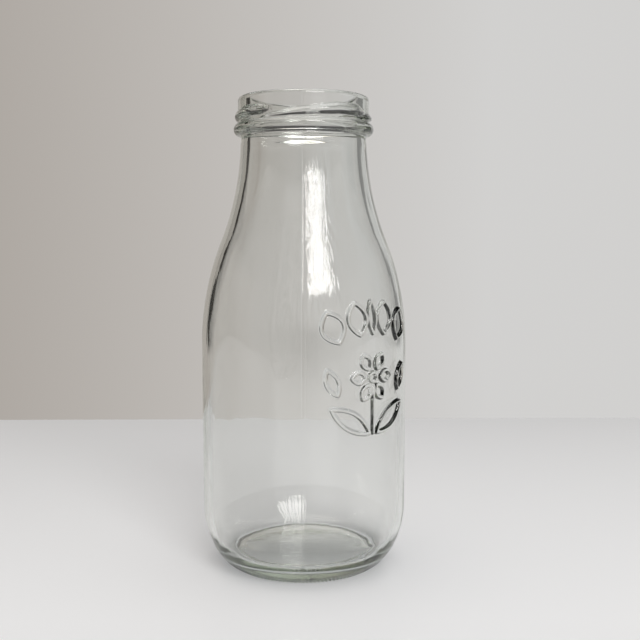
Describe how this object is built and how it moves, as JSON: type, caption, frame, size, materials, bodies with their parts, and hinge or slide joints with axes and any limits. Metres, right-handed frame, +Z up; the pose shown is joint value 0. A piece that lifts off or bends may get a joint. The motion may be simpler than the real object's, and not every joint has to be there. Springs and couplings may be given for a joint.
{
  "type": "glass milk bottle",
  "caption": "Small open clear-glass milk bottle with a twist-off lug neck, sloping shoulder, straight round body and embossed flower and leaf ornament.",
  "frame": {"origin": "centre of the base, on the surface that the bottle stands on", "axes": "+Z up the bottle's axis, out of the mouth; the mould's parting line runs up the -Y side, and the embossing is centred 39.3 degrees round from it towards +X"},
  "size_m": [0.0632, 0.0632, 0.144],
  "materials": {
    "clear_glass": "clear, nearly colourless glass with a faint green tint, glossy, slightly wavy from the mould"
  },
  "bodies": {
    "root": {"glass_bottle": "clear_glass"}
  },
  "joints": []
}
